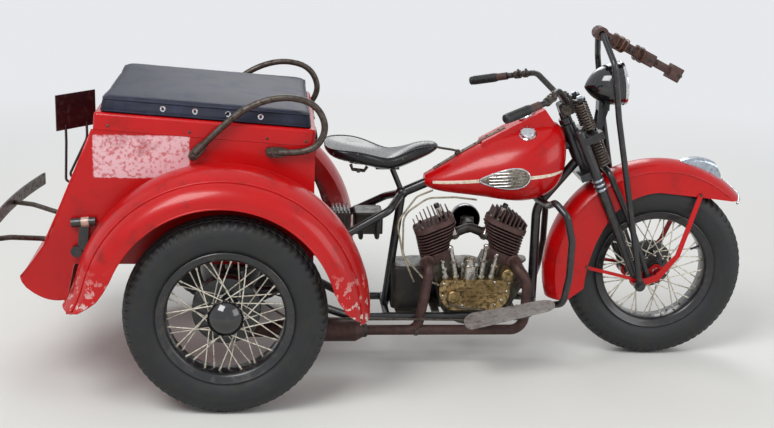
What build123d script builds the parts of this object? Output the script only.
from build123d import *
import os
from math import atan2, cos, hypot, radians, sin, tan

os.makedirs("parts", exist_ok=True)

# A three-wheeled service motorcycle with a cargo box over its rear axle.
# Sizes are millimetres. While it is modelled, X = 0 is the rear axle, +X is forward,
# +Y is the rider's left, Z = 0 is the ground. Everything moves by -mid_x at the end.

# Stance
wheelbase = 1550.0
half_track = 533.0
tyre_r = 330.0
tyre_half = 61.0
axle_z = tyre_r
rear_reach = 822.0
clearance = 0.3
running_gap = 6.0

# Wire wheels
bead_r = 203.0
bead_half = 46.0
lip_r = 221.0
rim_half = 54.0
well_r = 190.0
spoke_r = 2.6
spoke_count = 20
spoke_sweep = 56.0
hub_half = 50.0
hub_r = 28.0
flange_r = 58.0
flange_out = 34.0
spindle_r = 17.0

# Steering head: the axis leans back by the rake and passes behind the front axle
rake = 24.0
fork_offset = 104.0

# Fork, measured up the steering axis (s) and forward of it (n)
leg_n = 20.0
leg_y = 91.0
leg_r_top = 18.0
leg_r_low = 14.0
rocker_front_n = 66.0
rocker_inner = 60.0
rocker_outer = 72.0
crown_s = 443.0
crown_thick = 26.0
head_low_s = 475.0
head_high_s = 631.0
head_r = 28.0
perch_s = 569.0
perch_thick = 28.0
spring_n = 68.0
spring_y = 45.0
ride_spring_r = 27.0
rebound_spring_r = 21.0
spring_top_s = 699.0
yoke_s = 429.0
bar_s = 717.0
bar_n = 28.0
bar_r = 11.0

# Sheet metal
sheet = 3.0
box_wall = 10.0
box_half = 375.0
box_front_x = 285.0
seam_front_z = 849.0
seam_rear_x = -428.0
seam_rear_z = 900.0
floor_z = 480.0
seam_gap = 1.0
fender_half = 622.0

rake_sin = sin(radians(rake))
rake_cos = cos(radians(rake))
mid_x = (wheelbase + tyre_r - rear_reach) / 2
# The steering axis at the height where it passes nearest the front axle
foot_x = wheelbase - fork_offset * rake_cos
foot_z = axle_z - fork_offset * rake_sin


def at_fork(s, n, y=0.0):
    """The point s up the steering axis, n forward of it and y to the left."""
    return (foot_x - s * rake_sin + n * rake_cos, y, foot_z + s * rake_cos + n * rake_sin)


# The fork's own plane: local x is forward of the axis, local y is up the axis
fork_plane = Plane(origin=at_fork(0, 0), x_dir=(rake_cos, 0, rake_sin), z_dir=(0, -1, 0))


def outline(start, *steps):
    """A closed face. A step is a corner, or a pair (point on the arc, corner)."""
    edges = []
    here = start
    for step in steps:
        if isinstance(step[0], tuple):
            edges.append(ThreePointArc(here, step[0], step[1]))
            here = step[1]
        else:
            edges.append(Line(here, step))
            here = step
    if here != start:
        edges.append(Line(here, start))
    return make_face(edges)


def slab(face, y0, y1):
    """A face drawn in X and Z, as a solid from y0 to the larger y1."""
    return extrude(Plane(origin=(0, y1, 0), x_dir=(1, 0, 0), z_dir=(0, -1, 0)) * face, amount=y1 - y0)


def fork_slab(face, y0, y1):
    """A face drawn in n and s of the fork, as a solid from y0 to the larger y1."""
    return extrude(fork_plane.offset(-y1) * face, amount=y1 - y0)


def rod(start, end, r):
    """A straight round bar."""
    way = Vector(*end) - Vector(*start)
    return Solid.make_cylinder(r, way.length, Plane(origin=start, z_dir=way))


def taper(start, end, r0, r1):
    """A straight bar whose radius goes from r0 to r1."""
    way = Vector(*end) - Vector(*start)
    return Solid.make_cone(r0, r1, way.length, Plane(origin=start, z_dir=way))


def tube(points, r, bend):
    """A round bar along straight runs joined by arcs of the given radius or radii."""
    path = FilletPolyline(*points, radius=bend)
    return sweep(Plane(origin=path @ 0, z_dir=path % 0) * Circle(r), path=path)


def cross_pin(x, z, r, y0, y1):
    """A round bar across the machine."""
    return Pos(x, (y0 + y1) / 2, z) * Rot(90, 0, 0) * Cylinder(r, y1 - y0)


def turned(face):
    """A face drawn in radius and axial distance, revolved about the wheel axis, which is Y."""
    return Rot(-90, 0, 0) * revolve(Plane.XZ * face, Axis.Z)


def lathe(face, origin, way):
    """A face drawn in radius and distance along way, revolved about the line from origin."""
    return Plane(origin=origin, z_dir=way) * revolve(Plane.XZ * face, Axis.Z)


def dome(radius, base, height):
    """The middle and tip of a spherical cap's arc, for a profile that ends on its axis."""
    ball = (radius ** 2 + height ** 2) / (2 * abs(height))
    half = atan2(radius, ball - abs(height)) / 2
    way = 1 if height > 0 else -1
    return ((ball * sin(half), base + way * (abs(height) - ball + ball * cos(half))), (0.0, base + height))


def both(shape):
    """The shape and its mirror image across the machine."""
    return shape + mirror(shape, about=Plane.XZ)


def rounded(x0, x1, y0, y1, z0, z1, r):
    """A block with its four upright edges and its top edges rounded."""
    block = Pos((x0 + x1) / 2, (y0 + y1) / 2, (z0 + z1) / 2) * Box(x1 - x0, y1 - y0, z1 - z0)
    block = fillet(block.edges().filter_by(Axis.Z), r)
    return fillet(block.faces().sort_by(Axis.Z)[-1].edges(), r * 0.6)


nodes = {}


# Wheels

def make_tyre():
    """A ring that fills the rim from bead to bead, with a low crown."""
    low = bead_r + clearance
    side = bead_half - clearance
    lip = lip_r + 1.5
    shoulder = (tyre_r - 14, tyre_half * 0.78)
    belly = ((lip + shoulder[0]) / 2, tyre_half)
    return turned(outline(
        (low, -side), (low, side), (lip, side),
        (belly, shoulder),
        ((tyre_r, 0.0), (shoulder[0], -shoulder[1])),
        ((belly[0], -belly[1]), (lip, -side))))


def make_rim():
    """A rolled rim: the well, a step and the lip that stands beside the bead."""
    half_steps = ((well_r, 34), (well_r + 7, 44), (well_r + 18, 48), (lip_r - 2, rim_half),
                  (lip_r, rim_half - 3), (lip_r - 5, bead_half), (bead_r, bead_half))
    upper = list(half_steps)
    lower = [(r, -w) for r, w in reversed(half_steps)]
    return turned(outline(*upper, *lower))


def make_spokes():
    """Two crossed rows of straight spokes on each flange."""
    bars = []
    for side in (-1, 1):
        for k in range(spoke_count):
            lean = 1 if k % 2 else -1
            a = radians(k * 360 / spoke_count + side * 180 / spoke_count / 2)
            b = a + lean * radians(spoke_sweep)
            foot = Vector((flange_r - 7) * cos(a), side * (flange_out - 3 + lean * 4), (flange_r - 7) * sin(a))
            head = Vector((well_r + 6) * cos(b), side * (12 + lean * 3), (well_r + 6) * sin(b))
            line = Plane(origin=foot, z_dir=head - foot)
            bars.append(extrude(line * RegularPolygon(spoke_r, 6), amount=(head - foot).length))
    return bars


def make_wheel(drum_r, drum_in, drum_out, hub_end):
    """Rim, spokes, hub with its bore, and a brake drum on the side that is +Y."""
    bore = spindle_r + clearance
    waist = flange_out - 6
    hub = turned(outline(
        (bore, -hub_end), (bore, hub_end), (hub_r, hub_end), (hub_r, flange_out),
        (flange_r, flange_out), (flange_r, waist), (hub_r - 3, waist - 2),
        (hub_r - 3, 2 - waist), (flange_r, -waist), (flange_r, -flange_out),
        (hub_r, -flange_out), (hub_r, -hub_end)))
    drum = turned(outline(
        (hub_r - 4, drum_in), (drum_r, drum_in), (drum_r, drum_out),
        (drum_r - 7, drum_out), (drum_r - 7, drum_in + 7), (hub_r - 4, drum_in + 7)))
    return make_rim().fuse(hub, drum, *make_spokes())


front_drum_r = 88.0
rear_drum_r = 112.0
drum_in = 30.0
front_drum_out = 50.0
rear_drum_out = 78.0
tyre = make_tyre()
front_wire = make_wheel(front_drum_r, drum_in, front_drum_out, hub_half)
rear_wire = make_wheel(rear_drum_r, drum_in, rear_drum_out, hub_half)

cap_r = 58.0
cap_reach = 30.0
cap_seat = hub_half + clearance
cap_rim = flange_out + 6.0
cap_edge = cap_rim + 10.0
cap = turned(outline(
    (0.0, -cap_seat), (hub_r + 1, -cap_seat), (hub_r + 1, -cap_rim), (cap_r, -cap_rim), (cap_r, -cap_edge),
    dome(cap_r, -cap_edge, -(hub_half + cap_reach - cap_edge))))

nodes["front_tyre"] = Pos(wheelbase, 0, axle_z) * tyre
nodes["front_wire_wheel"] = Pos(wheelbase, 0, axle_z) * front_wire
for side, name in ((-1, "right"), (1, "left")):
    wire = rear_wire if side < 0 else mirror(rear_wire, about=Plane.XZ)
    hub_cap = cap if side < 0 else mirror(cap, about=Plane.XZ)
    nodes["rear_tyre_" + name] = Pos(0, side * half_track, axle_z) * tyre
    nodes["rear_wire_wheel_" + name] = Pos(0, side * half_track, axle_z) * wire
    nodes["hub_cap_" + name] = Pos(0, side * half_track, axle_z) * hub_cap

# Rear axle: a housing with a gear case at its middle, brake backing plates and spindles
housing_r = 34.0
diff_r = 108.0
diff_half = 70.0
plate_y = half_track - rear_drum_out - running_gap
backing = 8.0
axle_profile = outline(
    (0.0, 0.0), (diff_r, 0.0), (diff_r, 22.0),
    ((diff_r * 0.86, diff_half * 0.72), (housing_r + 18, diff_half + 10)),
    (housing_r, diff_half + 60), (housing_r, plate_y - backing), (rear_drum_r - 10, plate_y - backing),
    (rear_drum_r - 10, plate_y), (spindle_r + 7, plate_y), (spindle_r + 7, half_track - hub_half - running_gap),
    (spindle_r, half_track - hub_half - running_gap), (spindle_r, half_track + hub_half - 1), (0.0, half_track + hub_half - 1))
axle = turned(axle_profile)
nodes["rear_axle_housing"] = Pos(0, 0, axle_z) * (axle + mirror(axle, about=Plane.XZ))

# Frame: head, backbone, seat tube, down tube, two lower rails and two stays to the axle
frame_r = 15.0
rail_y = 118.0
rail_z = 176.0
down_x = 1106.0
seat_top = (612.0, 0.0, 606.0)
axle_clamp_y = 190.0
neck_s = 555.0
neck = at_fork(neck_s, -8)
head_foot = at_fork(head_low_s + 22, 0)
bore_r = 15.0
head_tube = rod(at_fork(head_low_s, 0), at_fork(head_high_s, 0), head_r)
head_tube = head_tube - rod(at_fork(head_low_s - 5, 0), at_fork(head_high_s + 5, 0), bore_r + clearance)
stem_hole = rod(at_fork(head_low_s - 5, 0), at_fork(head_high_s + 5, 0), bore_r + clearance)
backbone_r = frame_r + 3
down_r = frame_r + 2
backbone_points = [neck, (960.0, 0.0, 748.0), (760.0, 0.0, 672.0), seat_top]
backbone_bends = [260, 200]
down_points = [head_foot, (down_x, 0.0, 560.0), (down_x, 0.0, rail_z + 20)]
down_bend = 120
backbone = tube(backbone_points, backbone_r, backbone_bends)
down_tube = tube(down_points, down_r, down_bend)
# What the tank and the dash leave free round the tubes
tank_room = tube(backbone_points, backbone_r + clearance, backbone_bends)
tank_room = tank_room + tube(down_points, down_r + clearance, down_bend)
tank_room = tank_room + rod(at_fork(head_low_s - 60, 0), at_fork(head_high_s + 60, 0), head_r + running_gap)
seat_tube = rod(seat_top, (560.0, 0.0, rail_z + 8), frame_r)
rails = both(tube(
    [(down_x, 0.0, rail_z + 30), (down_x - 20, rail_y, rail_z), (430.0, rail_y, rail_z),
     (150.0, axle_clamp_y, axle_z - 30), (0.0, axle_clamp_y, axle_z - housing_r - 6)],
    frame_r, [60, 160, 90]))
stay_bend = (560.0, 105.0, 566.0)
stay_low = (300.0, 150.0, 428.0)
stays = both(tube([seat_top, stay_bend, stay_low, (0.0, axle_clamp_y, axle_z + housing_r + 8)], frame_r - 1, [40, 150]))
cross_rear = rod((560.0, -rail_y, rail_z), (560.0, rail_y, rail_z), frame_r - 2)
tray_r = 8.0
battery_low = 466.0
trays = Part()
for x in (391.0, 462.0, 520.0):
    share = (stay_bend[0] - x) / (stay_bend[0] - stay_low[0])
    side_y = stay_bend[1] + (stay_low[1] - stay_bend[1]) * share
    side_z = stay_bend[2] + (stay_low[2] - stay_bend[2]) * share
    trays = trays + tube([(x, -side_y, side_z), (x, -82.0, battery_low - tray_r - clearance),
                          (x, 82.0, battery_low - tray_r - clearance), (x, side_y, side_z)], tray_r, 20)
board_x0 = 960.0
board_z0 = 236.0
board_tilt = 12.0
hangers = Part()
for x in (880.0, 1016.0):
    low = board_z0 + (x - board_x0) * tan(radians(board_tilt)) - tray_r / cos(radians(board_tilt)) - clearance
    hangers = hangers + tube([(x, -rail_y, rail_z), (x, -192.0, low), (x, -312.0, low)], tray_r, 24)
clamp = Pos(0, axle_clamp_y, axle_z) * Rot(90, 0, 0) * (
    Cylinder(housing_r + 16, 34) - Cylinder(housing_r + clearance, 40))
# Posts that carry the cargo box: one pair on the axle clamps and one on the stays
box_seat_z = floor_z - box_wall - clearance
pad_thick = 6.0
posts = Part()
for x, y, low in ((0.0, axle_clamp_y, axle_z + housing_r + 6), (220.0, 160.7, 413.0)):
    posts = posts + rod((x, y, low), (x, y, box_seat_z - pad_thick), 13.0)
    posts = posts + Pos(x, y, box_seat_z - pad_thick / 2) * Box(70, 60, pad_thick)
seat_lug = Pos(*seat_top) * Sphere(frame_r + 8)
axle_hole_cut = cross_pin(0.0, axle_z, housing_r + clearance, -260.0, 260.0)
frame = backbone + down_tube + seat_tube + seat_lug + head_tube - stem_hole
frame_rails = rails + stays + cross_rear + both(clamp) + trays + both(hangers + posts) - axle_hole_cut - frame
nodes["frame"] = frame
nodes["frame_rails"] = frame_rails

# Front wheel axle and rockers
rocker_r = 20.0
pin_r = 9.0
axle_hole = spindle_r + clearance
pin_hole = pin_r + clearance
rocker_face = (Pos((leg_n + fork_offset) / 2, 0) * SlotCenterToCenter(fork_offset - leg_n, rocker_r * 2)
               + Pos(fork_offset, 0) * Circle(rocker_r + 6)
               - Pos(fork_offset, 0) * Circle(axle_hole)
               - Pos(leg_n, 0) * Circle(pin_hole)
               - Pos(rocker_front_n, 0) * Circle(pin_hole))
rocker = fork_slab(rocker_face, rocker_inner, rocker_outer)
nodes["rockers"] = both(rocker)
nut_out = rocker_outer + clearance
front_axle = cross_pin(wheelbase, axle_z, spindle_r, -(nut_out + 4), nut_out + 4)
axle_nut = Pos(wheelbase, nut_out + 8, axle_z) * Rot(90, 0, 0) * extrude(RegularPolygon(18, 6), amount=8, both=True)
spacer = (cross_pin(wheelbase, axle_z, spindle_r + 6, hub_half + 5, rocker_inner - clearance)
          - cross_pin(wheelbase, axle_z, spindle_r - 1, hub_half, rocker_inner))
nodes["front_axle"] = front_axle + both(axle_nut) + mirror(spacer, about=Plane.XZ)

# Rigid fork: tapered legs with a pin and eye at the foot, a crown under the head,
# the stem through it, and the perch that the springs stand on
leg_top_s = 599.0
tow_y = 128.0
tow_eye_half = 11.0
tow_pin_out = tow_y + tow_eye_half + 1
eye_in = rocker_outer + clearance
eye_out = leg_y + leg_r_low + 0.5
leg = taper(at_fork(12, leg_n, leg_y), at_fork(330, leg_n, leg_y), leg_r_low, leg_r_top)
leg = leg + rod(at_fork(330, leg_n, leg_y), at_fork(leg_top_s, leg_n, leg_y), leg_r_top)
leg = leg + Pos(*at_fork(leg_top_s, leg_n, leg_y)) * Sphere(leg_r_top)
foot_pin = at_fork(0, leg_n)
leg_eye = cross_pin(foot_pin[0], foot_pin[2], 18.0, eye_in, eye_out)
leg_pin = cross_pin(foot_pin[0], foot_pin[2], pin_r, rocker_inner - 2, tow_pin_out)
leg_pin = leg_pin + cross_pin(foot_pin[0], foot_pin[2], pin_r + 5, tow_pin_out, tow_pin_out + 5)
crown_face = Rectangle(leg_n + leg_r_top + 34, crown_thick)
crown = fork_slab(Pos((leg_n - 16) / 2, crown_s) * crown_face, -leg_y, leg_y)
stem_top_s = bar_s - 40
stem = rod(at_fork(crown_s, 0), at_fork(stem_top_s - clearance, 0), bore_r)
stem = stem + rod(at_fork(head_high_s + 3, 0), at_fork(head_high_s + 24, 0), head_r - 4)
perch_in = head_r + running_gap
perch_out = spring_n + 28
perch_face = Pos((perch_in + perch_out) / 2, perch_s) * RectangleRounded(perch_out - perch_in, perch_thick, 8)
perch = fork_slab(perch_face, -leg_y, leg_y)
# Ears that tie the perch to the tops of the legs
ear_face = Pos((leg_n + perch_out) / 2, perch_s) * Rectangle(perch_out - leg_n, perch_thick)
perch = perch + both(fork_slab(ear_face, leg_y - leg_r_top, leg_y + leg_r_top))
spring_hole = both(rod(at_fork(perch_s - 60, spring_n, spring_y), at_fork(perch_s + 60, spring_n, spring_y), 8.0))
nodes["rigid_fork"] = both(leg + leg_eye + leg_pin) + crown + stem + perch - spring_hole

# Spring fork: legs ahead of the rigid ones, a yoke over the fender and rods up through the perch
spring_leg_r = 11.0
spring_eye_out = leg_y + 3.0
rod_r = 6.0
spring_foot = at_fork(0, rocker_front_n)
spring_leg = tube([at_fork(10, rocker_front_n, leg_y - 7), at_fork(250, spring_n + 7, leg_y - 3),
                   at_fork(yoke_s, spring_n, leg_y - 3), at_fork(yoke_s, spring_n, 0)], spring_leg_r, [300, 26])
spring_eye = cross_pin(spring_foot[0], spring_foot[2], 15.0, eye_in, spring_eye_out)
spring_pin = cross_pin(spring_foot[0], spring_foot[2], pin_r, rocker_inner - 2, eye_in + 2)
spring_rod = rod(at_fork(yoke_s, spring_n, spring_y), at_fork(spring_top_s + 14, spring_n, spring_y), rod_r)
spring_cap = rod(at_fork(spring_top_s, spring_n, spring_y), at_fork(spring_top_s + 10, spring_n, spring_y), rebound_spring_r - 2)
nodes["spring_fork"] = both(spring_leg + spring_eye + spring_pin + spring_rod + spring_cap)

# Springs: ringed sleeves round the rods, one pair over the perch and one under it


def make_spring(s0, s1, turns, r):
    """A coil drawn as a ringed sleeve."""
    pitch = (s1 - s0) / turns
    wall = [(rod_r + 1.5, 0.0)]
    for k in range(turns):
        wall.append((r - 4, k * pitch))
        wall.append((r, (k + 0.5) * pitch))
    wall.append((r - 4, s1 - s0))
    wall.append((rod_r + 1.5, s1 - s0))
    return lathe(outline(*wall), at_fork(s0, spring_n, spring_y), Vector(-rake_sin, 0, rake_cos))


spring_table = (
    # lower end, upper end, turns, outer radius
    (perch_s + perch_thick / 2 + clearance, spring_top_s - clearance, 9, rebound_spring_r),
    (yoke_s + spring_leg_r + clearance, perch_s - perch_thick / 2 - clearance, 8, ride_spring_r),
)
nodes["fork_springs"] = Compound([both(make_spring(*row)) for row in spring_table])

# Handlebar, right half first: centre, rise, inner and outer end of the grip
bar_points = [at_fork(bar_s, bar_n), (1172.0, -90.0, 960.0), (1118.0, -200.0, 1016.0),
              (1059.0, -295.0, 992.0), (907.0, -390.0, 952.0)]
bar = both(tube(bar_points, bar_r, [60, 70, 60]))
riser = fork_slab(Pos(bar_n / 2 + 2, bar_s - 30) * RectangleRounded(52, 50, 10), -26, 26)
riser = riser - rod(at_fork(bar_s - 80, 0), at_fork(stem_top_s, 0), bore_r + clearance)
nodes["handlebar"] = bar + riser + rod(at_fork(bar_s, bar_n, -30), at_fork(bar_s, bar_n, 30), bar_r + 8)

grip_r = 16.0
grip_start = Vector(1059.0, -295.0, 992.0)
grip_end = Vector(907.0, -390.0, 952.0)
grip_way = (grip_end - grip_start).normalized()
grip_length = (grip_end - grip_start).length
sleeve_from = 34.0
grip_from = 78.0
grip_bore = bar_r + clearance
grip_profile = outline((grip_bore, 0), (grip_r, 0), (grip_r, grip_length - grip_from + 2),
                       (grip_r - 3, grip_length - grip_from + 5), (0, grip_length - grip_from + 5),
                       (0, grip_length - grip_from + clearance), (grip_bore, grip_length - grip_from + clearance))
sleeve_profile = outline((grip_bore, 0), (grip_r - 2, 0), (grip_r - 2, grip_from - sleeve_from - 1),
                         (grip_bore, grip_from - sleeve_from - 1))
nodes["grips"] = both(lathe(grip_profile, grip_start + grip_way * grip_from, grip_way))
nodes["grip_sleeves"] = both(lathe(sleeve_profile, grip_start + grip_way * sleeve_from, grip_way))

# Headlamp: a bullet shell with a bezel and lens, on a forked bracket from the perch
lamp_r = 76.0
lamp_length = 132.0
lamp_tilt = 7.0
lamp_way = Vector(cos(radians(lamp_tilt)), 0, sin(radians(lamp_tilt)))
lamp_face = Vector(1384.0, 0, 1013.0)
lamp_back = lamp_face - lamp_way * lamp_length
nodes["headlamp_shell"] = lathe(outline(
    (0, 0), ((lamp_r * 0.72, lamp_length * 0.34), (lamp_r, lamp_length * 0.92)), (lamp_r, lamp_length),
    (0, lamp_length)), lamp_back, lamp_way)
bezel_r = lamp_r + 4
nodes["headlamp_lens"] = lathe(outline(
    (0, clearance), (bezel_r, clearance), (bezel_r, 12), (bezel_r - 6, 12),
    dome(bezel_r - 6, 12, 14)), lamp_face, lamp_way)
lamp_foot = lamp_back + lamp_way * (lamp_length * 0.55)
bracket_top = lamp_foot.Z - lamp_r * 1.02
bracket_x = lamp_foot.X
perch_front = at_fork(perch_s, spring_n + 26)
bracket_side = outline((bracket_x - 18, bracket_top - 4), (bracket_x + 18, bracket_top - 4),
                       (perch_front[0] + 10, perch_front[2] - 8), (perch_front[0] + 1, perch_front[2] - 8),
                       (perch_front[0] - 10, perch_front[2] + 10))
lamp_bracket = slab(bracket_side, -24, 24) - slab(bracket_side, -19, 19)
bracket_pad = slab(outline((bracket_x - 20, bracket_top - 12), (bracket_x + 20, bracket_top - 12),
                           (bracket_x + 20, bracket_top + 30), (bracket_x - 20, bracket_top + 30)), -24, 24)
nodes["headlamp_bracket"] = lamp_bracket + bracket_pad - nodes["headlamp_shell"] - nodes["rigid_fork"]

# Front fender: a deep crowned channel round the wheel, with its ends cut to shape
fender_r = 410.0
fender_side = 72.5
fender_low_r = 245.0
fender_from = -18.7
fender_to = 138.6


def channel(outer_r, low_r, side, crown_drop):
    """The section of a fender in radius and width, as an outer outline."""
    return outline((low_r, -side), (outer_r - crown_drop, -side), ((outer_r, 0.0), (outer_r - crown_drop, side)),
                   (low_r, side))


ring = channel(fender_r, fender_low_r, fender_side, 36.0) - channel(
    fender_r - sheet, fender_low_r - 5, fender_side - sheet, 36.0)
front_fender = Pos(wheelbase, 0, axle_z) * Rot(-90, 0, 0) * Rot(0, 0, fender_from - 180) * revolve(
    Plane.XZ * ring, Axis.Z, revolution_arc=fender_to - fender_from)
front_cut = outline((1276.0, 150.0), (1283.0, 266.0), ((1308.0, 410.0), (1355.0, 515.0)),
                    ((1436.0, 597.0), (1541.0, 628.0)), (1680.0, 613.0), (1810.0, 597.0), (1990.0, 590.0), (1990.0, 150.0))
rear_cut = outline((1000.0, 100.0), (1300.0, 100.0), (1283.0, 266.0), (1226.0, 222.0), (1000.0, 216.0))
nodes["front_fender"] = front_fender - slab(front_cut, -200, 200) - slab(rear_cut, -200, 200)

# Fender stays: flat strips from the fork's feet to the fender's sides
stay_in = eye_out + clearance
stay_thick = 4.0
foot_x0 = foot_pin[0]
foot_z0 = foot_pin[2]
stay_ring = slab(Pos(foot_x0, foot_z0) * (Circle(19) - Circle(pin_hole)), stay_in, stay_in + stay_thick)


def fender_stay(corners, end, halves):
    """A flat strip from the foot through corners beside it, then in to the fender's side."""
    points = [Vector(foot_x0, 0, foot_z0)] + [Vector(x, 0, z) for x, z in corners]
    flat = Part()
    for here, there, half0, half1 in zip(points, points[1:], halves, halves[1:]):
        way = (there - here).normalized()
        side0 = Vector(-way.Z, 0, way.X) * half0
        side1 = Vector(-way.Z, 0, way.X) * half1
        edge = [here + side0, there + side1, there - side1, here - side0]
        flat = flat + slab(make_face(Polyline([(v.X, v.Z) for v in edge], close=True)), stay_in, stay_in + stay_thick)
        flat = flat + slab(Pos(there.X, there.Z) * Circle(half1), stay_in, stay_in + stay_thick)
    inner = Vector(end[0], fender_side + clearance + stay_thick / 2, end[1])
    outer = Vector(points[-1].X, stay_in + stay_thick / 2, points[-1].Z)
    way = inner - outer
    across = Vector(0, 1, 0).cross(way).normalized()
    line = Plane(origin=outer, x_dir=way.cross(across), z_dir=way)
    strip = extrude(line * Rectangle(stay_thick, halves[-1] * 2), amount=way.length)
    return strip + flat - cross_pin(foot_x0, foot_z0, pin_hole, 80, 140)


stays_table = (
    # corners beside the foot, end on the fender, half widths at the foot and at each corner
    (((1540.0, 316.0), (1612.0, 402.0)), (1690.0, 621.0), (13.0, 12.0, 9.0)),
    (((1440.0, 318.0),), (1290.0, 347.0), (9.0, 6.0)),
)
fender_stays = stay_ring
for row in stays_table:
    fender_stays = fender_stays + fender_stay(*row)
nodes["front_fender_stays"] = both(fender_stays)

# Fender lamp: a low streamlined housing on the fender's crown
lamp_side = outline((1600.0, fender_r + axle_z - 20), ((1690.0, 745.0), (1750.0, 730.0)),
                    (1772.0, 690.0), (1780.0, 640.0), (1600.0, 640.0))
lamp_body = slab(lamp_side, -26, 26)
lamp_body = fillet(lamp_body.edges().filter_by(GeomType.CIRCLE), 14)
under_fender = Pos(wheelbase, 0, axle_z) * Rot(-90, 0, 0) * revolve(
    Plane.XZ * channel(fender_r + clearance, 100.0, fender_side + clearance, 36.0), Axis.Z)
nodes["fender_lamp"] = lamp_body - under_fender

# Brake backing plate on the left of the front wheel
brake_plate = (cross_pin(wheelbase, axle_z, front_drum_r - 10, hub_half + 5, rocker_inner - clearance)
               - cross_pin(wheelbase, axle_z, spindle_r + clearance, 40, 70)
               - fork_slab(Pos(leg_n, 0) * Circle(pin_hole + 2), 40, 70)
               - fork_slab(Pos(rocker_front_n, 0) * Circle(pin_hole + 2), 40, 70))
nodes["front_brake_plate"] = brake_plate

# Tow bar: two legs from the fork's feet, joined over the headlamp by the clamp head
tow_r = 11.0
tow_leg = tube([(foot_x0, tow_y, foot_z0 + 12), (1354.0, tow_y, 905.0), (1326.0, tow_y, 1095.0),
                (1300.0, 40.0, 1186.0), (1298.0, 0.0, 1190.0)], tow_r, [300, 40, 18])
tow_eye = cross_pin(foot_x0, foot_z0, 20.0, tow_y - tow_eye_half, tow_y + tow_eye_half)
tow_legs = both(tow_leg + tow_eye) - both(cross_pin(foot_x0, foot_z0, pin_hole, 80, 150))
nodes["tow_bar_legs"] = tow_legs

tow_head_start = Vector(1298.0, 0, 1190.0)
tow_head_end = Vector(1600.0, 0, 1040.0)
tow_way = (tow_head_end - tow_head_start).normalized()
head_line = Plane(origin=tow_head_start - tow_way * 22, x_dir=(0, 1, 0), z_dir=tow_way)
tow_length = (tow_head_end - tow_head_start).length
arm = extrude(head_line * RectangleRounded(34, 34, 6), amount=tow_length * 0.62)
jaw = extrude(head_line.offset(tow_length * 0.62 + 8) * RectangleRounded(24, 30, 5), amount=tow_length * 0.36)
collar = extrude(head_line.offset(tow_length * 0.58) * RectangleRounded(52, 46, 8), amount=46)
fork_plate = extrude(head_line.offset(tow_length * 0.92) * RectangleRounded(60, 52, 6), amount=42)
slot_cut = extrude(head_line.offset(tow_length * 0.97) * Rectangle(22, 80), amount=60)
socket = rod(tow_head_start + Vector(0, -30, 0), tow_head_start + Vector(0, 30, 0), 24)
tow_head = arm + jaw + collar + fork_plate - slot_cut + socket
tow_hollow = rod(tow_head_start + Vector(0, -80, 0), tow_head_start + Vector(0, 80, 0), tow_r + clearance)
nodes["tow_bar_head"] = tow_head - tow_hollow - tow_legs

# Engine: crankcase, two finned cylinders in a 45 degree V, timing case, generator.
# A cylinder is drawn upright from the crank centre: x is outward from the V, z is up its axis.
crank_x = 862.0
crank_z = 240.0
crank_r = 112.0
crank_half = 68.0
bank = 22.5
deck = 150.0
barrel_out = 52.0
barrel_r = 45.0
lobe_width = 104.0
fin_from = 186.0
fin_pitch = 11.0
fin_count = 8
fin_thick = 3.2
fin_depth = 122.0
fin_y = -8.0
fin_corner = 44.0
fin_low = (4.0, 114.0)
fin_high = (-52.0, 102.0)
head_from = fin_from + fin_pitch * fin_count
head_to = head_from + 62.0
head_slab = 18.0
rib_count = 9
rib_pitch = 16.0
chest_y = -66.0
port_y = -92.0
port_r = 18.0
port_out = 98.0
port_up = 176.0
inlet_up = 222.0
inlet_in = -45.0
inlet_r = 20.0
lug_thick = 8.0
rail_top = rail_z + frame_r + clearance
case_floor = rail_top + lug_thick + 0.5


def at_cylinder(side, out, up, y=0.0):
    """A point of the rear (-1) or front (1) cylinder, outward from the V and up its axis."""
    lean = radians(bank)
    return (crank_x + side * (up * sin(lean) + out * cos(lean)), y, crank_z + up * cos(lean) - out * sin(lean))


crankcase = cross_pin(crank_x, crank_z, crank_r, -crank_half, crank_half)
for side in (-1, 1):
    lobe = extrude(Plane(origin=at_cylinder(side, barrel_out, 0.0), x_dir=(0, 1, 0),
                         z_dir=(side * sin(radians(bank)), 0, cos(radians(bank)))) * RectangleRounded(
        crank_half * 2 - 6, lobe_width, 14), amount=deck)
    crankcase = crankcase + lobe
gen_x = 1046.0
gen_z = 300.0
gen_r = 36.0
cradle = slab(outline((930.0, 195.0), (1016.0, 195.0), (1052.0, 262.0), (1044.0, 300.0), (990.0, 322.0), (930.0, 300.0)), -60, 60)
cradle = cradle - cross_pin(gen_x, gen_z, gen_r + clearance, -70, 70)
lug_mid = rail_top + lug_thick / 2
lug_table = (
    # middle, length and half width of each foot plate
    (984.0, 28.0, rail_y + 8), (980.0, 100.0, 60.0), (734.0, 28.0, rail_y + 8), (765.0, 90.0, 60.0),
)
lugs = Part()
for x, length, half in lug_table:
    lugs = lugs + Pos(x, 0, lug_mid) * Box(length, 2 * half, lug_thick)
nodes["crankcase"] = crankcase + cradle + lugs


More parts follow.
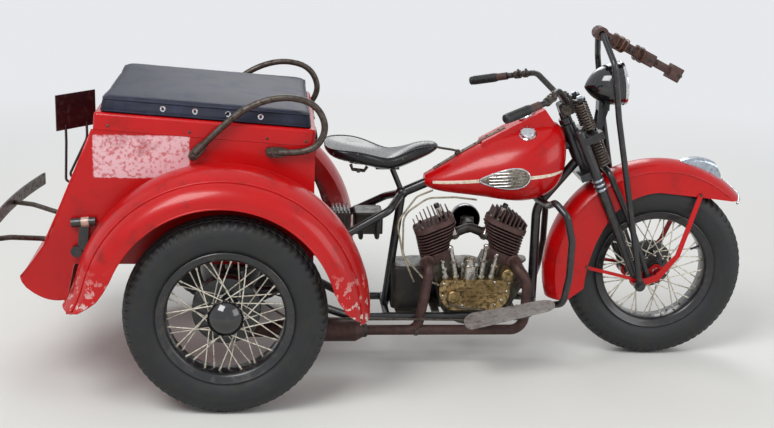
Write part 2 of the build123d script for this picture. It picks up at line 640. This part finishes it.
def make_cylinder(side):
    """A finned barrel and head with its valve chest, exhaust port, inlet stub and plug."""
    base = deck + clearance
    upright = (Align.CENTER, Align.CENTER, Align.MIN)
    body = Pos(side * barrel_out, 0, base) * Cylinder(barrel_r, head_from - base, align=upright)
    body = body + Pos(side * (barrel_out + 1), (chest_y - 16) / 2, base) * Box(110, -16 - chest_y, fin_from - base + 2, align=upright)
    body = body + Pos(side * port_out, (port_y - 60) / 2, port_up) * Rot(90, 0, 0) * Cylinder(port_r, -60 - port_y)
    body = body + Pos(side * (inlet_in + 32), fin_y, inlet_up) * Rot(0, 90, 0) * Cylinder(inlet_r, 64)
    for k in range(fin_count):
        share = k / (fin_count - 1)
        inner = fin_low[0] + (fin_high[0] - fin_low[0]) * share
        outer = fin_low[1] + (fin_high[1] - fin_low[1]) * share
        plate = RectangleRounded(outer - inner, fin_depth + 4 * share, fin_corner)
        body = body + Pos(side * (inner + outer) / 2, fin_y, fin_from + k * fin_pitch) * extrude(plate, amount=fin_thick)
    middle = (fin_high[0] + fin_high[1]) / 2
    head = RectangleRounded(fin_high[1] - fin_high[0], fin_depth + 4, fin_corner)
    body = body + Pos(side * middle, fin_y, head_from) * extrude(head, amount=head_slab)
    for k in range(rib_count):
        out = middle + (k - (rib_count - 1) / 2) * rib_pitch
        top = head_to - 0.0035 * (out - 15) ** 2
        depth = fin_depth - 4 - abs(k - (rib_count - 1) / 2) * 9
        body = body + Pos(side * out, fin_y, (head_from + top) / 2) * Box(4.6, depth, top - head_from)
    plug = Pos(side * -8.0, -20, head_from + 12) * Cylinder(9, 68, align=upright)
    return Pos(crank_x, 0, crank_z) * Rot(0, side * bank, 0) * (body + plug)


nodes["cylinder_rear"] = make_cylinder(-1)
nodes["cylinder_front"] = make_cylinder(1)

# Timing case on the right: a ribbed cover, an end cover, a timer and the oil pump
case_y = crank_half + clearance
case_depth = 52.0
case_top = 312.0
case_face_y = case_y + case_depth
cover_face = outline((748.0, 296.0), ((755.0, 236.0), (792.0, case_floor)), (948.0, case_floor),
                     ((984.0, 222.0), (1000.0, 280.0)), (1008.0, case_top), (764.0, case_top), ((752.5, 307.5), (748.0, 296.0)))
timing = slab(cover_face, -case_face_y, -case_y)
for k in range(5):
    timing = timing + Pos(890, -(case_face_y + 2), 226 + k * 17) * Box(110 + k * 10, 6, 7)
end_x = 990.0
end_z = 334.0
end_r = 22.0
timing = timing + Pos(end_x, -(case_y + case_depth / 2), (end_z + 300) / 2) * Box(end_r * 2, case_depth, end_z - 300)
timing = timing + cross_pin(end_x, end_z, end_r, -(case_face_y + 8), -case_y)
timer_y = -(case_y + 34)
upright = (Align.CENTER, Align.CENTER, Align.MIN)
timing = timing + Pos(853, timer_y, case_top - 1) * Cylinder(29, 55, align=upright)
timing = timing + Pos(853, timer_y, case_top + 53) * Cylinder(20, 26, align=upright)
pump = cross_pin(795, 256, 23, -(case_face_y + 22), -(case_face_y - 1))
pump = pump + cross_pin(798, 294, 14, -(case_face_y + 16), -(case_face_y - 1))
nodes["timing_case"] = timing + pump

# Tappet covers: stepped tubes that lean with the cylinder they serve
tappet_y = -(case_y + 24)
tappet_table = (
    # foot x, top x, height
    (768.0, 752.0, 62.0), (808.0, 782.0, 116.0), (897.0, 914.0, 122.0), (935.0, 954.0, 86.0),
)
tappets = []
for foot, top, height in tappet_table:
    lean = Vector(top - foot, 0, height)
    length = lean.length
    cover = lathe(outline((0, 0), (12, 0), (12, length * 0.48), (9, length * 0.54), (9, length - 5), (6, length), (0, length)),
                  (foot, tappet_y, case_top + clearance + 5), lean)
    tappets.append(cover + Pos(foot, tappet_y, case_top + clearance) * Cylinder(12, 10, align=upright))
nodes["tappet_covers"] = Compound(tappets)
nodes["generator"] = cross_pin(gen_x, gen_z, gen_r, chest_y, 62.0)

# Exhaust: a pipe from each cylinder's right side down to a silencer under the axle
pipe_r = port_r
pipe_y = -166.0
pipe_z = 142.0
silencer_r = 40.0
rear_port = at_cylinder(-1, port_out, port_up)
front_port = at_cylinder(1, port_out, port_up)
start_y = port_y - clearance
rear_pipe = tube([(rear_port[0], start_y, rear_port[2]), (rear_port[0], -148.0, rear_port[2]),
                  (688.0, -160.0, 262.0), (664.0, pipe_y, pipe_z), (480.0, pipe_y, pipe_z)], pipe_r, [28, 80, 40])
front_pipe = tube([(front_port[0], start_y, front_port[2]), (front_port[0], -146.0, front_port[2]),
                   (1056.0, -158.0, 318.0), (1052.0, pipe_y, 235.0), (1046.0, pipe_y, pipe_z), (640.0, pipe_y, pipe_z)],
                  pipe_r, [26, 50, 60, 50])
silencer = lathe(outline((0, 0), (pipe_r + 2, 0), (silencer_r, 36), (silencer_r, 300), (24, 350), (24, 420), (0, 420)),
                 Vector(480.0, pipe_y, pipe_z), Vector(-1, 0, 0))
nodes["exhaust"] = rear_pipe + front_pipe + silencer

# Gearbox behind the engine, primary cover on the left, battery box under the saddle
gear_feet = Pos(645, 0, lug_mid) * Box(110, 2 * (rail_y + 8), lug_thick)
gearbox = rounded(578.0, 698.0, -78.0, crank_half, rail_top, 350.0, 22.0) + gear_feet
nodes["gearbox"] = gearbox - rod(seat_top, (560.0, 0.0, rail_z + 8), frame_r + clearance)
primary_r = 68.0
primary_z = case_floor + primary_r
nodes["primary_cover"] = slab(Pos(766, primary_z) * SlotCenterToCenter(200, primary_r * 2), crank_half + clearance, 116.0)
nodes["battery_box"] = rounded(440.0, 542.0, -60.0, 60.0, battery_low, 544.0, 12.0)
# Regulator: a ribbed box on the tray ahead of the battery's far end
regulator = rounded(356.0, 428.0, -48.0, 48.0, battery_low, 540.0, 10.0)
for k in range(5):
    regulator = regulator + Pos(366 + k * 13, 0, (battery_low + 550) / 2) * Box(5, 108, 550 - battery_low)
nodes["regulator"] = regulator

# Inlet pipe between the cylinders' stubs, with the carburettor and air cleaner on its left
inlet_start = inlet_in - clearance
stub_rear = at_cylinder(-1, inlet_start, inlet_up, fin_y)
stub_front = at_cylinder(1, inlet_start, inlet_up, fin_y)
inlet_peak = (crank_x, fin_y, stub_front[2] + (stub_front[0] - crank_x) * tan(radians(bank)))
inlet = tube([stub_rear, inlet_peak, stub_front], inlet_r - 3, 30)
carb_z = inlet_peak[2]
carb = rod((crank_x, fin_y + 4, carb_z), (crank_x, 100.0, carb_z), 20.0)
carb = carb + Pos(crank_x, 66.0, carb_z - 34) * Cylinder(25, 52, align=(Align.CENTER, Align.CENTER, Align.MIN))
nodes["carburettor"] = inlet + carb + cross_pin(crank_x, carb_z, 54.0, 98.0, 130.0)

# Fuel tank: two halves, each lofted from sections that are a flat side and a bulge
tank_split = 2.0
tank_sections = (
    # station x, bottom z, top z, half width, height of the widest point
    (690.0, 640.0, 676.0, 34.0, 656.0),
    (800.0, 616.0, 744.0, 88.0, 666.0),
    (950.0, 600.0, 826.0, 132.0, 688.0),
    (1080.0, 598.0, 868.0, 142.0, 708.0),
    (1160.0, 642.0, 868.0, 112.0, 738.0),
    (1188.0, 715.0, 830.0, 64.0, 768.0),
)
wires = []
for x, z0, z1, half, zm in tank_sections:
    plane = Plane(origin=(x, 0, 0), x_dir=(0, 1, 0), z_dir=(1, 0, 0))
    wires.append(plane * outline((tank_split, z0), ((half * 0.80, z0 + (zm - z0) * 0.32), (half, zm)),
                                 ((half * 0.74, zm + (z1 - zm) * 0.66), (tank_split, z1))))
tank_left = loft(wires)
tank_left = tank_left - tank_room
nodes["fuel_tank_left"] = tank_left
nodes["fuel_tank_right"] = mirror(tank_left, about=Plane.XZ)

# Dash: a pointed cover on the centre line between the tank tops
dash_side = outline((880.0, 770.0), (890.0, 802.0), (1109.0, 922.0), (1140.0, 880.0), (1150.0, 760.0), (1000.0, 740.0))
dash = slab(dash_side, -46, 46) - tank_left - mirror(tank_left, about=Plane.XZ)
nodes["dash"] = dash - tank_room

# Seat post with the plate that the saddle sits on
post_top = (572.0, 0.0, 700.0)
seat_low = 704.0
seat_plate = Pos(555, 0, seat_low - clearance - 3) * Box(84, 70, 6)
nodes["seat_post"] = rod(seat_top, post_top, 10.0) + seat_plate - Pos(*seat_top) * Sphere(frame_r + 8 + clearance)


# Saddle: a broad bucket with a nose, its plan and side outlines crossed
saddle_plan = outline((322.0, 0.0), ((350.0, -128.0), (440.0, -150.0)), ((540.0, -110.0), (600.0, -62.0)),
                      ((720.0, -44.0), (738.0, 0.0)), ((720.0, 44.0), (600.0, 62.0)),
                      ((540.0, 110.0), (440.0, 150.0)), ((350.0, 128.0), (322.0, 0.0)))
saddle_side = outline((326.0, 786.0), ((344.0, 818.0), (392.0, 824.0)), ((462.0, 818.0), (520.0, 794.0)),
                      ((556.0, 778.0), (600.0, 778.0)), ((660.0, 792.0), (716.0, 799.0)), ((738.0, 786.0), (734.0, 766.0)),
                      (671.0, 728.0), (604.0, 694.0), (540.0, 694.0), (430.0, 724.0), (350.0, 766.0))
saddle = slab(saddle_side, -160, 160) & extrude(Pos(0, 0, 600) * saddle_plan, amount=400)
# The dish over the rear, and the room for the seat plate under it
dish_r = 240.0
saddle = saddle - Pos(446.0, 0, 798.0 + dish_r) * Sphere(dish_r)
nodes["saddle"] = saddle - Pos(555, 0, seat_low - 30) * Box(200, 100, 60)

# Footboards and crash bar
board_face = outline((829.0, -352.0), ((812.0, -290.0), (850.0, -214.0)), (1110.0, -232.0),
                     ((1136.0, -290.0), (1100.0, -330.0)))
board = extrude(board_face, amount=9)
board = Pos(board_x0, 0, board_z0) * Rot(0, -board_tilt, 0) * Pos(-board_x0, 0, 0) * board
nodes["footboards"] = both(board)
crash_r = 12.5
crash = tube([(down_x, -4.0, 585.0), (1128.0, -110.0, 588.0), (1132.0, -196.0, 620.0), (1168.0, -236.0, 580.0),
              (1190.0, -236.0, 490.0), (1188.0, -236.0, 360.0), (1172.0, -232.0, 262.0), (1098.0, -62.0, 190.0)],
             crash_r, [80, 26, 30, 100, 100, 40])
crash = crash - frame - frame_rails
nodes["crash_bar"] = both(crash)

# Cargo box: an open-topped hollow body whose tail sweeps back, and its lid with a cushion
tail_knee = (-549.0, 616.0)
tail_tip = (-673.0, 405.0)
body_face = outline(
    (box_front_x, seam_front_z), (seam_rear_x, seam_rear_z), tail_knee,
    ((-594.0, 510.0), tail_tip), ((-646.0, 362.0), (-527.0, 327.0)),
    (-500.0, floor_z - 30), (box_front_x, floor_z - 30))
inner_face = outline(
    (box_front_x - box_wall, seam_front_z + 60), (seam_rear_x + box_wall, seam_rear_z + 60),
    (seam_rear_x + box_wall, seam_rear_z), (tail_knee[0] + box_wall + 1, tail_knee[1]),
    (-560.0, floor_z + 30), (-560.0, floor_z), (box_front_x - box_wall, floor_z))
skirt_face = outline((-500.0, 300.0), (-500.0, floor_z - 30 - box_wall), (-596.0, floor_z - 30 - box_wall),
                     (-655.0, 404.0), (-636.0, 378.0), (-527.0, 337.0))
under_face = outline((-490.0, 420.0), (box_front_x - box_wall, 420.0), (box_front_x - box_wall, floor_z - box_wall),
                     (-490.0, floor_z - box_wall))
body = slab(body_face, -box_half, box_half)
body = body - slab(inner_face, box_wall - box_half, box_half - box_wall)
body = body - slab(skirt_face, box_wall - box_half, box_half - box_wall)
body = body - slab(under_face, box_wall - box_half, box_half - box_wall)
nodes["cargo_box"] = body

seam_slope = (seam_rear_z - seam_front_z) / (box_front_x - seam_rear_x)
lid_rise = 56.0
lid_plane = Plane(origin=(seam_rear_x, 0, seam_rear_z + seam_gap), x_dir=(1, 0, -seam_slope), z_dir=(seam_slope, 0, 1))
lid_length = hypot(box_front_x - seam_rear_x, seam_rear_z - seam_front_z)
lid = Pos(lid_length / 2, 0, 0) * extrude(Rectangle(lid_length, box_half * 2), amount=lid_rise)
lid = fillet(lid.edges().filter_by(Axis.Z), 14)
lid = fillet(lid.faces().sort_by(Axis.Z)[-1].edges(), 12)
lid = lid - Pos(lid_length / 2, 0, -1) * extrude(
    Rectangle(lid_length - box_wall * 2, (box_half - box_wall) * 2), amount=lid_rise - box_wall + 1)
nodes["box_lid"] = lid_plane * lid
cushion_thick = 54.0
cushion_inset = 5.0
cushion = Pos(lid_length / 2, 0, lid_rise + clearance) * extrude(
    RectangleRounded(lid_length - cushion_inset * 2 - 24, (box_half - cushion_inset - 2) * 2, 24), amount=cushion_thick)
cushion = fillet(cushion.faces().sort_by(Axis.Z)[-1].edges(), 20)
nodes["lid_cushion"] = lid_plane * cushion

# Lid hinge: knuckles in turn on the box's front panel and on the lid's front edge
hinge_r = 7.0
hinge_x = box_front_x + hinge_r + 1.5
hinge_z = seam_front_z - 2.0
hinge_pin_r = 3.0
knuckle = 60.0
knuckle_gap = 1.0
box_knuckles = Part()
lid_knuckles = Part()
for centre in (-230.0, 230.0):
    for k in (-1, 0, 1):
        mid = centre + k * (knuckle + knuckle_gap)
        barrel = cross_pin(hinge_x, hinge_z, hinge_r, mid - knuckle / 2, mid + knuckle / 2)
        if k == 0:
            leaf = slab(outline((hinge_x - 5, seam_front_z + 2), (hinge_x + 4, hinge_z + 4), (hinge_x, hinge_z + 36),
                                (box_front_x - 2, hinge_z + 36), (box_front_x - 2, seam_front_z + 2)),
                        mid - knuckle / 2, mid + knuckle / 2)
            barrel = barrel + leaf - nodes["box_lid"]
            barrel = barrel - cross_pin(hinge_x, hinge_z, hinge_pin_r + clearance, mid - knuckle, mid + knuckle)
            lid_knuckles = lid_knuckles + barrel
        else:
            leaf = slab(outline((box_front_x + clearance, hinge_z), (hinge_x, hinge_z), (hinge_x, hinge_z - hinge_r),
                                (box_front_x + clearance + 2, hinge_z - 40), (box_front_x + clearance, hinge_z - 40)),
                        mid - knuckle / 2, mid + knuckle / 2)
            box_knuckles = box_knuckles + barrel + leaf
    box_knuckles = box_knuckles + cross_pin(hinge_x, hinge_z, hinge_pin_r, centre - knuckle, centre + knuckle)
nodes["lid_hinge_fixed"] = box_knuckles
nodes["lid_hinge_moving"] = lid_knuckles

# Rear fenders: a wide crown from the box side, over the wheel and down outside it
crown_r = 482.0
opening_r = 372.0
arch_x = -12.0
arch_z = axle_z
wall_r = 458.0
crown_y = 470.0
shoulder_y = 575.0
shoulder_r = 448.0
front_fall = 3.0
tail_rise = 15.0
flare_r = 380.0
flare_arc = 20.0


def fender_section(radius):
    """The section from the box side over the crown and down outside; radius places each height."""
    def at(r, y):
        return (radius(r), y)
    return outline(
        at(wall_r, box_half), (at(wall_r + 16, box_half + 40), at(crown_r, crown_y)),
        (at(crown_r - 9, shoulder_y - 45), at(shoulder_r, shoulder_y)),
        (at(shoulder_r - 22, fender_half - 14), at(shoulder_r - 50, fender_half)), at(opening_r, fender_half),
        at(opening_r, fender_half - sheet), at(shoulder_r - 50, fender_half - sheet),
        (at(shoulder_r - 24, fender_half - 17), at(shoulder_r - 2, shoulder_y - 2)),
        (at(crown_r - 12, shoulder_y - 46), at(crown_r - sheet, crown_y)),
        (at(wall_r + 14, box_half + 42), at(wall_r - 2, box_half + sheet)),
        at(wall_r - 50, box_half + sheet), at(wall_r - 50, box_half))


arch = Plane.XZ * fender_section(lambda r: r)
fender_left = Pos(arch_x, 0, arch_z) * Rot(-90, 0, 0) * Rot(0, 0, front_fall) * revolve(
    arch, Axis.Z, revolution_arc=-(front_fall + 180 - tail_rise))
# The tail turns outward, away from the wheel
flare = Plane.XZ * fender_section(lambda r: flare_r + crown_r - r)
flare_x = arch_x - (crown_r + flare_r) * cos(radians(tail_rise))
flare_z = arch_z + (crown_r + flare_r) * sin(radians(tail_rise))
fender_left = fender_left + Pos(flare_x, 0, flare_z) * Rot(-90, 0, 0) * Rot(0, 0, tail_rise) * revolve(
    flare, Axis.Z, revolution_arc=flare_arc)
# Both ends of the side run out to a point at the crown
nose_cut = outline((349.0, 425.0), (386.0, 362.0), (432.0, 322.0), (500.0, 270.0), (500.0, 150.0), (200.0, 150.0))
tail_cut = outline((-361.0, 464.0), (-402.0, 400.0), (-462.0, 356.0), (-500.0, 344.0), (-500.0, 150.0), (-200.0, 150.0))
for cut in (nose_cut, tail_cut):
    fender_left = fender_left - slab(cut, shoulder_y + 2, fender_half + 5)
tail_trim = outline((-640.0, 372.0), (-500.0, 344.0), (-440.0, 344.0), (-440.0, 150.0), (-640.0, 150.0))
fender_left = fender_left - slab(tail_trim, box_half - 1, fender_half + 5)
nodes["rear_fender_left"] = fender_left
nodes["rear_fender_right"] = mirror(fender_left, about=Plane.XZ)

# Grab rails beside the lid
rail_side_y = 396.0
grab_r = 11.0
grab_points = [(-100.0, -rail_side_y, 830.0), (-47.0, -rail_side_y, 887.0),
               (40.0, -rail_side_y, 966.0), (122.0, -rail_side_y, 1006.0), (204.0, -rail_side_y, 1018.0),
               (285.0, -rail_side_y, 995.0), (322.0, -rail_side_y, 925.0), (300.0, -rail_side_y, 862.0),
               (250.0, -rail_side_y, 836.0), (166.0, -rail_side_y, 834.0)]
grab = tube(grab_points, grab_r, [60, 100, 60, 60, 50, 40, 40, 30])
feet = Part()
foot_depth = rail_side_y - box_half - clearance + grab_r * 0.4
for x, z, turn in ((-94.0, 835.0, -45.0), (165.0, 834.0, 0.0)):
    foot = Pos(x, -(box_half + clearance + foot_depth / 2), z) * Rot(0, turn, 0) * Box(62, foot_depth, 28)
    feet = feet + fillet(foot.edges().filter_by(Axis.Y), 10)
nodes["grab_rails"] = both(grab + feet)

# Bracket on the box's right side: a short bar over a hooked arm
bracket_out = 15.0
bracket_y = -(box_half + clearance + bracket_out)
side_bracket = rod((-502.0, bracket_y, 594.0), (-424.0, bracket_y, 600.0), bracket_out)
side_bracket = side_bracket + slab(outline((-474.0, 592.0), (-444.0, 594.0), (-452.0, 505.0), (-484.0, 505.0)),
                                   bracket_y - 10, -(box_half + clearance))
nodes["side_bracket"] = side_bracket + cross_pin(-488.0, 499.0, 18.0, bracket_y - 12, -(box_half + clearance))

# Blank plate turned outward on two bent legs behind the box
plate_turn = 40.0
plate_x = -524.0
plate_y = -60.0
plate = Pos(plate_x, plate_y, 904.0) * Rot(0, 0, -plate_turn) * Box(4, 176, 122)
for side in (-1, 1):
    y = plate_y + side * 36.0
    x = plate_x + side * 36.0 * tan(radians(plate_turn))
    plate = plate + tube([(-520.0, y, 650.0), (-560.0, y, 664.0), (x, y, 800.0), (x, y, 860.0)], 4.5, [14, 60])
nodes["plate_bracket"] = plate - nodes["cargo_box"]

# Brake rod along the right side, with its short shaft, arm and the bent wire to the pump
brake_y = -200.0
brake_x = 896.0
brake_z = 190.0
arm_top = 226.0
brake = rod((brake_x, -rail_y, 184.0), (brake_x, brake_y - 6, 190.0), 6.0)
brake = brake + slab(outline((brake_x - 9, brake_z - 6), (brake_x + 9, brake_z - 6), (brake_x + 6, arm_top + 6),
                             (brake_x - 6, arm_top + 6)), brake_y - 4, brake_y + 4)
brake = brake + tube([(brake_x, brake_y, brake_z), (200.0, brake_y, 200.0), (46.0, brake_y, 306.0)], 4.0, 40)
brake = brake + tube([(brake_x, brake_y, arm_top), (820.0, brake_y + 24, 229.0), (776.0, -150.0, 232.0),
                      (776.0, -(case_face_y + clearance), 232.0)], 3.5, [30, 14])
nodes["brake_rod"] = brake - frame_rails - frame

# Cables held at both ends: one from under the tank round the rear cylinder to the pump,
# and one from the seat lug down behind it
cable_r = 3.5
pump_cable = tube([(879.0, -40.0, 590.0), (800.0, -44.0, 600.0), (700.0, -56.0, 600.0), (612.0, -84.0, 545.0), (612.0, -96.0, 400.0),
                   (690.0, -104.0, 312.0), (746.0, -108.0, 290.0)], cable_r, [60, 80, 60, 60, 30])
case_cable = tube([(720.0, -24.0, 620.0), (660.0, -60.0, 606.0), (588.0, -98.0, 520.0), (612.0, -104.0, 400.0),
                   (655.0, -100.0, 300.0), (655.0, -78.0 - clearance, 298.0)], cable_r, [40, 60, 60, 8])
nodes["engine_cables"] = Compound([pump_cable, case_cable])

# Rear bumper: a bowed face bar on two irons from under the box
bumper_z = 500.0
bumper_half = 620.0
bumper_end_x = -758.0
face_height = 46.0
bar_thick = 7.0
bow_out = ThreePointArc((bumper_end_x, -bumper_half), (-rear_reach, 0.0), (bumper_end_x, bumper_half))
bow_in = ThreePointArc((bumper_end_x + bar_thick, bumper_half), (-rear_reach + bar_thick, 0.0),
                       (bumper_end_x + bar_thick, -bumper_half))
bow = make_face([bow_out, Line(bow_out @ 1, bow_in @ 0), bow_in, Line(bow_in @ 1, bow_out @ 0)])
face_bar = extrude(Pos(0, 0, bumper_z - face_height / 2) * bow, amount=face_height)
iron = tube([(-560.0, 170.0, 470.0), (-640.0, 176.0, 480.0), (-730.0, 220.0, bumper_z - 4), (-818.0, 262.0, bumper_z - 4)], 9.0, [60, 60])
iron = iron - slab(body_face, -box_half, box_half)
nodes["rear_bumper"] = face_bar + both(iron)

for name, shape in nodes.items():
    export_step(Pos(-mid_x, 0, 0) * shape, f"parts/{name}.step")
